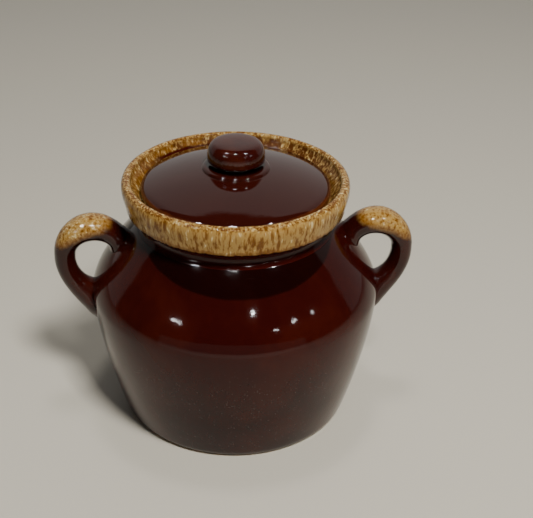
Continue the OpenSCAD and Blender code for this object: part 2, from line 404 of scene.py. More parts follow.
def lidOutline():
    bore, foot, waist, waistZ = lid["bore"], lid["footRadius"], lid["waistRadius"], waistHeight()
    radius, low, wall = lid["radius"], lid["z"], lid["wall"]
    edge = (radius - lid["round"], low + lid["edge"])
    ring, ringZ = lid["flangeRadius"], low - lid["flangeHeight"]
    ringIn = ring - lid["flangeWidth"]
    hollow = ringIn - 3
    step = foot - lid["footEdge"]
    stepZ = domeHeight(step) + lid["footHeight"]
    start = foot + 0.8
    # waist and step
    points = [(bore, waistZ), (waist, waistZ)]
    points += bezier((waist, waistZ), (waist, waistZ - 0.9), (step - 1.5, stepZ), (step, stepZ), 8)
    points += bezier(
        (step, stepZ), (step + 1.8, stepZ), (foot - 0.1, stepZ - 0.5), (foot, domeHeight(foot) + 0.3), 9,
    )
    points += bezier(
        points[-1], (foot, domeHeight(foot) + 0.05), (foot + 0.25, domeHeight(foot + 0.5)),
        (start, domeHeight(start)), 4,
    )
    # dome and edge
    points += [(r, domeHeight(r)) for r in (start + (edge[0] - start) * i / 18 for i in range(1, 19))]
    points += bezier(
        edge, (edge[0] + lid["round"] * 0.5, edge[1] - 0.8),
        (radius, low + lid["edge"] * 0.72), (radius, low + lid["edge"] * 0.42), 12,
    )
    points += [(radius, low + 0.8), (radius - 0.25, low + 0.25), (radius - 0.8, low), (ring + 1, low)]
    # ring underneath and hollow
    points += [(ring, low - 1), (ring - 0.3, ringZ + 1.2), (ring - 0.6, ringZ + 0.4), (ring - 1.5, ringZ)]
    points += [(ringIn + 1, ringZ), (ringIn, ringZ + 1)]
    points += bezier(
        (ringIn, ringZ + 1), (ringIn - 0.4, low - 1),
        (hollow + 1.4, domeHeight(hollow, wall) - 1.2), (hollow, domeHeight(hollow, wall)), 8,
    )
    inner = (hollow + (bore - hollow) * i / 12 for i in range(1, 13))
    points += [(r, domeHeight(r, wall)) for r in inner]
    return points + [points[0]]


def knobOutline():
    bore, waist, waistZ = lid["bore"], lid["waistRadius"], waistHeight()
    base = domeHeight(0)
    top, edgeZ, wideZ = base + knob["height"], base + knob["edgeHeight"], base + knob["wideHeight"]
    radius, shoulder, roof = knob["radius"], knob["radius"] - knob["shoulder"], top - knob["wall"]
    # hollow inside
    points = [(0, roof)] + bezier((0, roof), (bore * 0.6, roof), (bore, roof - 1.6), (bore, roof - 4), 6)
    # waist, side and top
    points += [(bore, waistZ), (waist, waistZ)]
    points += bezier(
        (waist, waistZ), (waist, waistZ + 0.9), (radius - 2.4, edgeZ - 0.3), (radius - 1, edgeZ), 8,
    )
    points += bezier(
        (radius - 1, edgeZ), (radius - 0.3, edgeZ + 0.2), (radius, wideZ - 0.8), (radius, wideZ), 8,
    )
    points += bezier(
        (radius, wideZ), (radius, top - 5), (radius - 1.9, top - 1.75), (shoulder, top - 0.9), 14,
    )
    points += bezier((shoulder, top - 0.9), (radius - 6.6, top - 0.15), (5, top), (0, top), 10)
    return points


# tools for the meshes
def clearSelection():
    for item in bpy.context.selected_objects:
        item.select_set(False)


def selectOnly(piece):
    clearSelection()
    piece.select_set(True)
    bpy.context.view_layer.objects.active = piece


def turnOnWheel(name, outline, steps):
    # draws the outline from one point and spins it round the pot's axis
    clearSelection()
    bpy.ops.mesh.primitive_plane_add(size=0.002, location=(0, 0, 0))
    piece = bpy.context.object
    piece.name = name
    bpy.ops.object.mode_set(mode="EDIT")
    bpy.ops.mesh.select_all(action="SELECT")
    bpy.ops.mesh.merge(type="CENTER")
    bpy.ops.transform.translate(value=(outline[0][0] * mm, 0, outline[0][1] * mm))
    for p, q in zip(outline[:-1], outline[1:]):
        move = ((q[0] - p[0]) * mm, 0, (q[1] - p[1]) * mm)
        bpy.ops.mesh.extrude_region_move(TRANSFORM_OT_translate={"value": move})
    bpy.ops.mesh.select_all(action="SELECT")
    bpy.ops.mesh.spin(steps=steps, angle=math.radians(360), center=(0, 0, 0), axis=(0, 0, 1))
    bpy.ops.mesh.select_all(action="SELECT")
    bpy.ops.mesh.remove_doubles(threshold=0.00001)
    bpy.ops.mesh.normals_make_consistent(inside=False)
    bpy.ops.mesh.select_all(action="DESELECT")
    bpy.ops.object.mode_set(mode="OBJECT")
    return piece


def applyModifier(piece, kind, **settings):
    selectOnly(piece)
    modifier = piece.modifiers.new(kind.lower(), kind)
    for key, value in settings.items():
        setattr(modifier, key, value)
    bpy.ops.object.modifier_apply(modifier=modifier.name)


def unevenClay(piece, amount, size):
    # the slight unevenness of cast clay under a thick glaze, always inwards
    cloud = bpy.data.textures.new(piece.name + "Clouds", "CLOUDS")
    cloud.noise_scale = size
    cloud.noise_depth = 1
    applyModifier(
        piece, "DISPLACE", texture=cloud, texture_coords="LOCAL", strength=amount * mm, mid_level=1.0
    )


def smoothFaces(piece, angle=40):
    selectOnly(piece)
    bpy.ops.object.shade_smooth_by_angle(angle=math.radians(angle))


def buildTurned(name, outline, sizes):
    piece = turnOnWheel(name, outline, sizes["steps"])
    unevenClay(piece, sizes["unevenness"], sizes["cloudSize"])
    smoothFaces(piece)
    return piece


potBody = buildTurned("potBody", potOutline(), pot)
potCollar = buildTurned("potCollar", collarOutline(), collar)
lidShell = buildTurned("lidShell", lidOutline(), lid)
lidKnob = buildTurned("lidKnob", knobOutline(), knob)
print("turned pieces ready")


# handles, in millimetres
handle = {
    "rootZ": 113.6,
    "rootSink": 6.8,            # how far the upper root starts inside the pot's face
    "tailZ": 71.6,
    "tailSink": 2.5,
    "crestRise": 24.8,
    "crestReach": 16.4,
    "reach": 114.2,             # outermost point, from the axis
    "bendShare": 0.865,         # height of the outermost point between tail and root
    "bendCurve": (15, 1.6),     # how far the line stays upright above and below it
    "tailCurve": (3.1, 18.2),   # the line's pull outside the bend and above the tail
    "endCurve": 2.6,
    "buried": 8.0,              # how far the line runs on inside the pot
    "rootThick": 12.4,
    "crestThick": 17.6,
    "bendThick": 13.3,
    "tailThick": 13.0,
    "footThick": 16.5,
    "strap": 1.3,               # width for each millimetre of thickness
    "flare": 3.5,
    "rootFlare": (6.0, 3.5),    # where the root's flare starts to fade, and how slowly
    "tailFlare": (2.0, 4.0),
    "flareOut": 0.15,           # shares of the flares outwards, inwards and sideways
    "flareIn": (0.1, 0.6),      # at the root and at the tail
    "flareWide": (0.75, 1.2),
    "rootWeb": (2.8, 4.5, 2.0), # how far the root fills the corner of the hole, and its fading
    "tailWeb": (3.4, 14.0, 6.0),
    "sides": 32,
    "rings": 64,
    "unevenness": 0.15,
    "cloudSize": 0.012,
    "trimDepth": 1.2,           # the ends are cut off this far inside the pot's face
    "trimTop": 150.0,
    "trimSteps": 96,
    "smoothAngle": 35,
}


def faceRadius(z):
    # the pot's outer face at that height
    side = potSide()
    for p, q in zip(side[:-1], side[1:]):
        if p[1] <= z <= q[1] and q[1] > p[1]:
            return p[0] + (q[0] - p[0]) * (z - p[1]) / (q[1] - p[1])


def handleLine():
    # the corner points of the handle's centre line with the tangents on both sides
    rootZ, tailZ = handle["rootZ"], handle["tailZ"]
    root = Vector((faceRadius(rootZ) - handle["rootSink"], rootZ))
    tail = Vector((faceRadius(tailZ) - handle["tailSink"], tailZ))
    bendX = handle["reach"] - handle["bendThick"] / 2
    bend = Vector((bendX, tailZ + (rootZ - tailZ) * handle["bendShare"]))
    rise = Vector((handle["crestReach"], handle["crestRise"]))
    over = Vector((bend.x + handle["tailCurve"][0], tail.y + handle["tailCurve"][1]))
    upwards, downwards = handle["bendCurve"]
    stub = handle["endCurve"]
    climb = rise.normalized()
    back = (tail - over).normalized()
    start = root - climb * handle["buried"]
    end = tail + back * handle["buried"]
    return [
        (start, start - climb * stub, start + climb * stub),
        (root, root - climb * stub, root + rise),
        (bend, bend + Vector((0, upwards)), bend - Vector((0, downwards))),
        (tail, over, tail + back * stub),
        (end, end - back * stub, end + back * stub),
    ]


def lineLength(line):
    # length of the line up to each of its corner points
    lengths = [0.0]
    for a, b in zip(line[:-1], line[1:]):
        points = [tuple(a[0])] + bezier(a[0], a[2], b[1], b[0], 400)
        lengths.append(lengths[-1] + sum(math.dist(p, q) for p, q in zip(points[:-1], points[1:])))
    return lengths


def between(value, points):
    for (a, u), (b, v) in zip(points[:-1], points[1:]):
        if value <= b:
            return u + (v - u) * max(0.0, value - a) / (b - a)
    return points[-1][1]


def fade(distance, start, length):
    # 1 up to the start, then falling away
    return math.exp(-max(0, distance - start) / length)


def ringAt(s, runs):
    # half thickness, half width and how far the ring's centre moves inwards, at a distance s
    root, bend, tail = runs[1], runs[2], runs[3]
    crest = root + (bend - root) * 0.5
    low = bend + (tail - bend) * 0.5
    thick = [
        (root, handle["rootThick"] / 2), (crest, handle["crestThick"] / 2), (bend, handle["bendThick"] / 2),
        (low, handle["tailThick"] / 2), (tail, handle["footThick"] / 2),
    ]
    half = sum(between(s + step, thick) for step in (-6, -3, 0, 3, 6)) / 5
    upper = handle["flare"] * fade(s - root, *handle["rootFlare"])
    lower = handle["flare"] * fade(tail - s, *handle["tailFlare"])
    rootWeb, tailWeb = handle["rootWeb"], handle["tailWeb"]
    web = rootWeb[0] * fade(s - root, *rootWeb[1:]) + tailWeb[0] * fade(tail - s, *tailWeb[1:])
    (rootIn, tailIn), (rootWide, tailWide) = handle["flareIn"], handle["flareWide"]
    outside, inside = (upper + lower) * handle["flareOut"], upper * rootIn + lower * tailIn + web
    width = half * handle["strap"] + upper * rootWide + lower * tailWide
    return half + (outside + inside) / 2, width, (outside - inside) / 2


def drawStrap(runs):
    # a straight strap along X, thick in Y and wide in Z
    clearSelection()
    bpy.ops.mesh.primitive_circle_add(
        vertices=handle["sides"], radius=mm, location=(0, 0, 0), rotation=(0, math.radians(90), 0)
    )
    strap = bpy.context.object
    strap.name = "handleRight"
    bpy.ops.object.transform_apply(location=True, rotation=True, scale=True)
    bpy.ops.object.mode_set(mode="EDIT")
    bpy.ops.mesh.select_all(action="SELECT")
    old = ringAt(0, runs)
    bpy.ops.transform.resize(value=(1, old[0], old[1]), center_override=(0, 0, 0))
    bpy.ops.transform.translate(value=(0, old[2] * mm, 0))
    bpy.ops.mesh.edge_face_add()
    bpy.ops.mesh.select_all(action="SELECT")
    stops = [runs[-1] * i / handle["rings"] for i in range(handle["rings"] + 1)]
    for a, b in zip(stops[:-1], stops[1:]):
        new = ringAt(b, runs)
        move = ((b - a) * mm, (new[2] - old[2]) * mm, 0)
        bpy.ops.mesh.extrude_region_move(TRANSFORM_OT_translate={"value": move})
        bpy.ops.transform.resize(
            value=(1, new[0] / old[0], new[1] / old[1]), center_override=(b * mm, new[2] * mm, 0)
        )
        old = new
    bpy.ops.mesh.select_all(action="SELECT")
    bpy.ops.mesh.normals_make_consistent(inside=False)
    bpy.ops.object.mode_set(mode="OBJECT")
    return strap


def drawGuide(line):
    # the centre line as a flat curve
    clearSelection()
    bpy.ops.curve.primitive_bezier_curve_add(location=(0, 0, 0))
    guide = bpy.context.object
    guide.data.dimensions = "2D"
    guide.data.resolution_u = 64
    spline = guide.data.splines[0]
    spline.bezier_points.add(len(line) - len(spline.bezier_points))
    for point, (place, before, after) in zip(spline.bezier_points, line):
        point.handle_left_type = point.handle_right_type = "FREE"
        point.co = (place.x * mm, place.y * mm, 0)
        point.handle_left = (before.x * mm, before.y * mm, 0)
        point.handle_right = (after.x * mm, after.y * mm, 0)
    return guide


def buildHandle():
    line = handleLine()
    strap = drawStrap(lineLength(line))
    guide = drawGuide(line)
    applyModifier(strap, "CURVE", object=guide, deform_axis="POS_X")
    bpy.data.objects.remove(guide)
    # stood up, so that the curve's plane runs through the pot's axis
    selectOnly(strap)
    strap.rotation_euler = (math.radians(90), 0, 0)
    bpy.ops.object.transform_apply(location=True, rotation=True, scale=True)
    applyModifier(strap, "SUBSURF", levels=1, render_levels=1)
    return strap


def trimToPot(strap):
    inner = [(p[0] - handle["trimDepth"], p[1]) for p in potSide()]
    outline = [(0, 0)] + inner + [(inner[-1][0], handle["trimTop"]), (0, handle["trimTop"])]
    block = turnOnWheel("trimBlock", outline, handle["trimSteps"])
    applyModifier(strap, "BOOLEAN", operation="DIFFERENCE", solver="EXACT", object=block)
    bpy.data.objects.remove(block)
    smoothFaces(strap, handle["smoothAngle"])


def copyHandle(strap):
    # the same handle on the pot's other side
    other = strap.copy()
    other.data = strap.data.copy()
    other.name = "handleLeft"
    bpy.context.scene.collection.objects.link(other)
    selectOnly(other)
    other.rotation_euler = (0, 0, math.radians(180))
    bpy.ops.object.transform_apply(location=True, rotation=True, scale=True)
    return other


handleRight = buildHandle()
trimToPot(handleRight)
unevenClay(handleRight, handle["unevenness"], handle["cloudSize"])
handleLeft = copyHandle(handleRight)
print("handles ready")


# glazes
glaze = {
    "deep": (0.034, 0.0026, 0.0018),
    "warm": (0.066, 0.0070, 0.0020),
    "thin": (0.20, 0.050, 0.008),
    "honey": (0.27, 0.135, 0.026),
    "tan": (0.40, 0.245, 0.070),
    "cream": (0.66, 0.53, 0.27),
    "amber": (0.17, 0.062, 0.005),
    "brown": (0.085, 0.024, 0.006),
    "clay": (0.50, 0.40, 0.28),
    "speck": (0.10, 0.085, 0.078),
    # painted shade under the collar, near black
    "neckShade": (0.004, 0.0004, 0.0004),
    "underKnobShade": (0.002, 0.0004, 0.0004),     # painted shade under the knob, where almost no light gets in
    "ior": 1.45,
    "skin": (0.045, 0.085),             # roughness of the brown glaze, least and most
    "skinTones": (0.3, 0.7),            # cloud tones for these
    "cloudTones": (0.38, 0.66),         # tones between which it turns warm
    "runTones": (0.45, 0.75),
    "runShare": 0.35,
    "runScale": 160,
    "runStretch": (1, 1, 0.25),
    "speckScale": 680.0,
    "speckSize": (0.42, 0.10),
    "speckChance": (0.70, 0.95),
    "peelShare": 0.35,
    "waveScale": 70,
}


def newGroup(name, inputs, outputs):
    tree = bpy.data.node_groups.new(name, "ShaderNodeTree")
    for label, kind, value in inputs:
        socket = tree.interface.new_socket(name=label, in_out="INPUT", socket_type=kind)
        if value is not None:
            socket.default_value = (*value, 1) if kind == "NodeSocketColor" else value
    for label, kind in outputs:
        tree.interface.new_socket(name=label, in_out="OUTPUT", socket_type=kind)
    entry = addNode(tree, "NodeGroupInput", (-1600, 0)).outputs
    end = addNode(tree, "NodeGroupOutput", (1000, 0)).inputs
    return tree, entry, end


def noise(tree, vector, scale, detail, place, rough=0.5, warp=0.0):
    values = {"Vector": vector, "Scale": scale, "Detail": detail, "Roughness": rough, "Distortion": warp}
    return addNode(tree, "ShaderNodeTexNoise", place, values).outputs["Fac"]


def buildDarkGlaze():
    # the brown glaze: deep maroon with warmer clouds where it lies thinner
    tree, entry, end = newGroup("darkGlaze", [
        ("Vector", "NodeSocketVector", None),
        ("Deep", "NodeSocketColor", glaze["deep"]),
        ("Warm", "NodeSocketColor", glaze["warm"]),
        ("Cloud Scale", "NodeSocketFloat", 28.0),
        ("Warmth", "NodeSocketFloat", 0.5),
        ("Specks", "NodeSocketFloat", 0.0),
        ("Peel Scale", "NodeSocketFloat", 330.0),
    ], [("Color", "NodeSocketColor"), ("Height", "NodeSocketFloat"), ("Roughness", "NodeSocketFloat")])
    vector = entry["Vector"]
    clouds = noise(tree, vector, entry["Cloud Scale"], 3, (-1200, 200), 0.55, 0.4)
    # drawn out along Z, as glaze runs
    drawn = vectorMath(tree, "MULTIPLY", vector, glaze["runStretch"], (-1400, 0))
    runs = noise(tree, drawn, glaze["runScale"], 3, (-1200, 0), 0.6)
    runs = ramp(tree, runs, *glaze["runTones"], (-1000, 0))
    runs = doMath(tree, "MULTIPLY", runs, glaze["runShare"], (-800, 0))
    field = doMath(tree, "ADD", ramp(tree, clouds, *glaze["cloudTones"], (-1000, 200)), runs, (-600, 100))
    warmth = doMath(tree, "MULTIPLY", field, entry["Warmth"], (-400, 100), True)
    color = mixColor(tree, warmth, entry["Deep"], entry["Warm"], (-200, 100))
    # tiny pale specks, in places
    grid = {"Vector": vector, "Scale": glaze["speckScale"], "Randomness": 1.0}
    cells = addNode(tree, "ShaderNodeTexVoronoi", (-1200, -300), grid).outputs
    dots = ramp(tree, cells["Distance"], *glaze["speckSize"], (-1000, -300))
    chance = addNode(tree, "ShaderNodeSeparateColor", (-1000, -500), {0: cells["Color"]}).outputs[0]
    few = ramp(tree, chance, *glaze["speckChance"], (-800, -500))
    specks = doMath(tree, "MULTIPLY", dots, few, (-600, -400))
    specks = doMath(tree, "MULTIPLY", specks, entry["Specks"], (-400, -400))
    tree.links.new(mixColor(tree, specks, color, glaze["speck"], (0, 0)), end["Color"])
    # the skin of the glaze: fine orange peel over slow waves
    peel = noise(tree, vector, entry["Peel Scale"], 2, (-1200, -700))
    peel = doMath(tree, "MULTIPLY", peel, glaze["peelShare"], (-1000, -700))
    waves = noise(tree, vector, glaze["waveScale"], 1, (-1200, -900))
    tree.links.new(doMath(tree, "ADD", peel, waves, (-800, -800)), end["Height"])
    skin = ramp(tree, clouds, *glaze["skinTones"], (-600, -700), *glaze["skin"])
    tree.links.new(skin, end["Roughness"])
    return tree


drip = {
    "patchScale": 0.34,         # of the streaks' scale
    "grainScale": 1.5,
    "patchShare": 0.28,         # of the tone; the streaks have the rest
    "grainShare": 0.35,         # of where it breaks to brown
    "honey": (0.39, 0.46),      # tones between which amber turns to honey
    "tan": (0.45, 0.52),
    "cream": (0.62, 0.14),      # tone where cream starts, and how far Cream lowers it
    "brown": (0.32, 0.16),      # tone where brown ends, and how far Brown raises it
    "softness": 0.07,
    "patchHeight": 0.6,
}


def buildDripGlaze():
    # the tan glaze: amber, honey, tan and cream streaks, with brown where it breaks
    tree, entry, end = newGroup("dripGlaze", [
        ("Vector", "NodeSocketVector", None),
        ("Run", "NodeSocketFloat", 0.25),
        ("Streak Scale", "NodeSocketFloat", 480.0),
        ("Cream", "NodeSocketFloat", 0.5),
        ("Brown", "NodeSocketFloat", 0.5),
    ], [("Color", "NodeSocketColor"), ("Height", "NodeSocketFloat")])
    vector, scale = entry["Vector"], entry["Streak Scale"]
    stretch = addNode(tree, "ShaderNodeCombineXYZ", (-1500, -200), {"X": 1.0, "Y": 1.0, "Z": entry["Run"]})
    drawn = vectorMath(tree, "MULTIPLY", vector, stretch.outputs[0], (-1400, 0))
    patchScale = doMath(tree, "MULTIPLY", scale, drip["patchScale"], (-1400, -300))
    grainScale = doMath(tree, "MULTIPLY", scale, drip["grainScale"], (-1400, -500))
    streaks = noise(tree, drawn, scale, 3, (-1200, 200), 0.6, 0.3)
    patches = noise(tree, drawn, patchScale, 2, (-1200, 0), 0.55, 0.5)
    grains = noise(tree, vector, grainScale, 2, (-1200, -200), 0.6)
    streakPart = doMath(tree, "MULTIPLY", streaks, 1 - drip["patchShare"], (-1000, 200))
    patchPart = doMath(tree, "MULTIPLY", patches, drip["patchShare"], (-1000, 0))
    tone = doMath(tree, "ADD", streakPart, patchPart, (-800, 100))
    # from amber to cream
    honeyMask = ramp(tree, tone, *drip["honey"], (-700, 300))
    body = mixColor(tree, honeyMask, glaze["amber"], glaze["honey"], (-500, 300))
    tanMask = ramp(tree, tone, *drip["tan"], (-600, 200))
    body = mixColor(tree, tanMask, body, glaze["tan"], (-400, 200))
    lower = doMath(tree, "MULTIPLY", entry["Cream"], drip["cream"][1], (-800, -100))
    creamLow = doMath(tree, "SUBTRACT", drip["cream"][0], lower, (-600, -100))
    creamHigh = doMath(tree, "ADD", creamLow, drip["softness"], (-500, -250))
    creamMask = ramp(tree, tone, creamLow, creamHigh, (-400, -100))
    body = mixColor(tree, creamMask, body, glaze["cream"], (-200, 100))
    # brown where it lies thin
    grainPart = doMath(tree, "MULTIPLY", grains, drip["grainShare"], (-1000, -400))
    tonePart = doMath(tree, "MULTIPLY", tone, 1 - drip["grainShare"], (-1000, -500))
    thin = doMath(tree, "ADD", grainPart, tonePart, (-800, -450))
    raised = doMath(tree, "MULTIPLY", entry["Brown"], drip["brown"][1], (-800, -600))
    brownHigh = doMath(tree, "ADD", drip["brown"][0], raised, (-600, -600))
    brownLow = doMath(tree, "SUBTRACT", brownHigh, drip["softness"], (-500, -700))
    brownMask = ramp(tree, thin, brownHigh, brownLow, (-400, -500))
    broken = mixColor(tree, grains, glaze["amber"], glaze["brown"], (-200, -400))
    tree.links.new(mixColor(tree, brownMask, body, broken, (0, 0)), end["Color"])
    slow = doMath(tree, "MULTIPLY", patches, drip["patchHeight"], (-200, -700))
    tree.links.new(doMath(tree, "ADD", streaks, slow, (0, -600)), end["Height"])
    return tree


def buildRaggedEdge():
    # a soft ragged border: 1 where Value is above Line
    tree, entry, end = newGroup("raggedEdge", [
        ("Vector", "NodeSocketVector", None),
        ("Value", "NodeSocketFloat", 0.0),
        ("Line", "NodeSocketFloat", 0.0),
        ("Softness", "NodeSocketFloat", 0.001),
        ("Ragged", "NodeSocketFloat", 0.001),
        ("Scale", "NodeSocketFloat", 200.0),
    ], [("Mask", "NodeSocketFloat")])
    wander = noise(tree, entry["Vector"], entry["Scale"], 3, (-1200, -200), 0.6)
    wander = doMath(tree, "SUBTRACT", wander, 0.5, (-1000, -200))
    ragged = doMath(tree, "MULTIPLY", entry["Ragged"], 4.0, (-1000, -400))
    wander = doMath(tree, "MULTIPLY", wander, ragged, (-800, -200))
    above = doMath(tree, "SUBTRACT", entry["Value"], entry["Line"], (-1000, 100))
    above = doMath(tree, "ADD", above, wander, (-600, 0))
    below = doMath(tree, "MULTIPLY", entry["Softness"], -1.0, (-600, -300))
    tree.links.new(ramp(tree, above, below, entry["Softness"], (-400, 0)), end["Mask"])
    return tree


darkGlaze = buildDarkGlaze()
dripGlaze = buildDripGlaze()
raggedEdge = buildRaggedEdge()


def useGroup(tree, group, place, values):
    return addNode(tree, "ShaderNodeGroup", place, values, node_tree=group).outputs


def edgeMask(tree, vector, value, edge, place):
    # edge is (line, softness, raggedness, scale)
    line, softness, ragged, scale = edge
    values = {"Vector": vector, "Value": value, "Line": line}
    values.update({"Softness": softness, "Ragged": ragged, "Scale": scale})
    return useGroup(tree, raggedEdge, place, values)["Mask"]


def newGlaze(name, color):
    # a glossy material with its object coordinates
    material = bpy.data.materials.new(name)
    material.use_nodes = True
    material.diffuse_color = (*color, 1)
    tree = material.node_tree
    shader = tree.nodes["Principled BSDF"]
    shader.location = (1400, 0)
    shader.inputs["IOR"].default_value = glaze["ior"]
    vector = addNode(tree, "ShaderNodeTexCoord", (-1800, 0)).outputs["Object"]
    parts = addNode(tree, "ShaderNodeSeparateXYZ", (-1600, -300), {0: vector}).outputs
    return material, tree, shader, vector, parts


def axisDistance(tree, vector):
    flat = vectorMath(tree, "MULTIPLY", vector, (1, 1, 0), (-1600, -500))
    return vectorMath(tree, "LENGTH", flat, (0, 0, 0), (-1400, -500), "Value")


def addBump(tree, shader, height, distance):
    bump = addNode(tree, "ShaderNodeBump", (1200, -400), {"Height": height, "Distance": distance})
    tree.links.new(bump.outputs["Normal"], shader.inputs["Normal"])


potFinish = {                           # places in metres; an edge is line, softness, raggedness, scale
    "footDeep": (0.018, 0.0018, 0.0014),
    "bellyDeep": (0.028, 0.0022, 0.0015),
    "deepHeights": (0.030, 0.088),
    "warm": (0.055, 0.0062, 0.0018),
    "cloudScale": 26.0,
    "warmth": 0.42,
    "specks": 0.6,
    "speckHeights": (0.085, 0.055),
    "neckShadeEdge": (-0.0740, 0.0007, 0.0002, 60.0),    # minus the distance from the axis
    "neckShadeShift": 0.020,                 # how much narrower the painted shade is at the sides
    "neckShadeDepth": 0.82,
    "neckShadeHeights": (0.096, 0.110),
    "ringEdge": (-0.0011, 0.0002, 0.0002, 150.0),   # minus the height
    "clayRoughness": 0.85,
    "mirror": 0.32,
    "bump": 0.00008,
}


def buildPotMaterial():
    look = potFinish
    material, tree, shader, vector, parts = newGlaze("potGlaze", glaze["deep"])
    radius = axisDistance(tree, vector)
    lift = ramp(tree, parts["Z"], *look["deepHeights"], (-900, 400))
    specks = ramp(tree, parts["Z"], *look["speckHeights"], (-1200, -900))
    dark = useGroup(tree, darkGlaze, (-400, 200), {
        "Vector": vector,
        "Deep": mixColor(tree, lift, look["footDeep"], look["bellyDeep"], (-700, 400)),
        "Warm": look["warm"],
        "Cloud Scale": look["cloudScale"],
        "Warmth": look["warmth"],
        "Specks": doMath(tree, "MULTIPLY", specks, look["specks"], (-900, -900)),
    })
    # painted shade under the collar: nearly black round the neck, widest at the front
    front = doMath(tree, "DIVIDE", parts["Y"], radius, (-1200, -1200))
    front = doMath(tree, "ADD", front, 1.0, (-1000, -1200))
    front = doMath(tree, "MULTIPLY", front, look["neckShadeShift"], (-800, -1200))
    inward = doMath(tree, "ADD", radius, front, (-700, -1100))
    inward = doMath(tree, "MULTIPLY", inward, -1.0, (-600, -1100))
    neckShade = edgeMask(tree, vector, inward, look["neckShadeEdge"], (-400, -900))
    upper = ramp(tree, parts["Z"], *look["neckShadeHeights"], (-400, -1300), 0.0, look["neckShadeDepth"])
    neckShade = doMath(tree, "MULTIPLY", neckShade, upper, (0, -900))
    body = mixColor(tree, neckShade, dark["Color"], glaze["neckShade"], (400, 300))
    # bare clay on the standing ring
    down = doMath(tree, "MULTIPLY", parts["Z"], -1.0, (-900, -300))
    ring = edgeMask(tree, vector, down, look["ringEdge"], (-400, -300))
    tree.links.new(mixColor(tree, ring, body, glaze["clay"], (800, 200)), shader.inputs["Base Color"])
    shader.inputs["Specular IOR Level"].default_value = look["mirror"]
    values = {0: ring, 2: dark["Roughness"], 3: look["clayRoughness"]}
    rough = addNode(tree, "ShaderNodeMix", (800, 0), values)
    tree.links.new(rough.outputs[0], shader.inputs["Roughness"])
    addBump(tree, shader, dark["Height"], look["bump"])
    return material


collarFinish = {
    "cloudScale": 60.0,
    "warmth": 0.2,
    "side": {"Run": 0.24, "Streak Scale": 540.0, "Cream": 0.25, "Brown": 0.50},
    "crown": {"Run": 1.0, "Streak Scale": 620.0, "Cream": 0.45, "Brown": 1.25},
    "crownEdge": (0.1582, 0.0009, 0.0006, 180.0),
    "insideRadius": (0.0662, 0.0648),
    "insideHeight": (0.1592, 0.1572),
    "runny": (0.55, 0.95),              # how amber it is inside, at the front and at the back
    "runnyY": (-0.02, 0.05),
    "runnyTones": (1.0, 0.78),
    "blotScale": 75.0,
    "blotTones": (0.42, 0.56),
    "blotLean": 2.0,                    # browner to the right
    "seatEdge": (0.1545, 0.0008, 0.0010, 90.0),
    "seatX": (0.005, -0.015),
    "seatY": (0.025, 0.045),
    # painted highlight on the inner edge of the lip
    "highlightRadius": (0.0652, 0.0646),
    "highlightHeight": (0.1572, 0.1582),
    "highlightY": (0.01, -0.02),
    "highlightStrength": 0.8,
    "coverEdge": (0.1420, 0.0005, 0.0010, 260.0),
    "borderEdge": (0.1438, 0.0009, 0.0012, 260.0),
    "borderTan": 0.3,
    "roughness": 0.10,
    "mirror": 0.26,                     # low, for the neck in the collar's shade
    "bump": 0.00022,
}


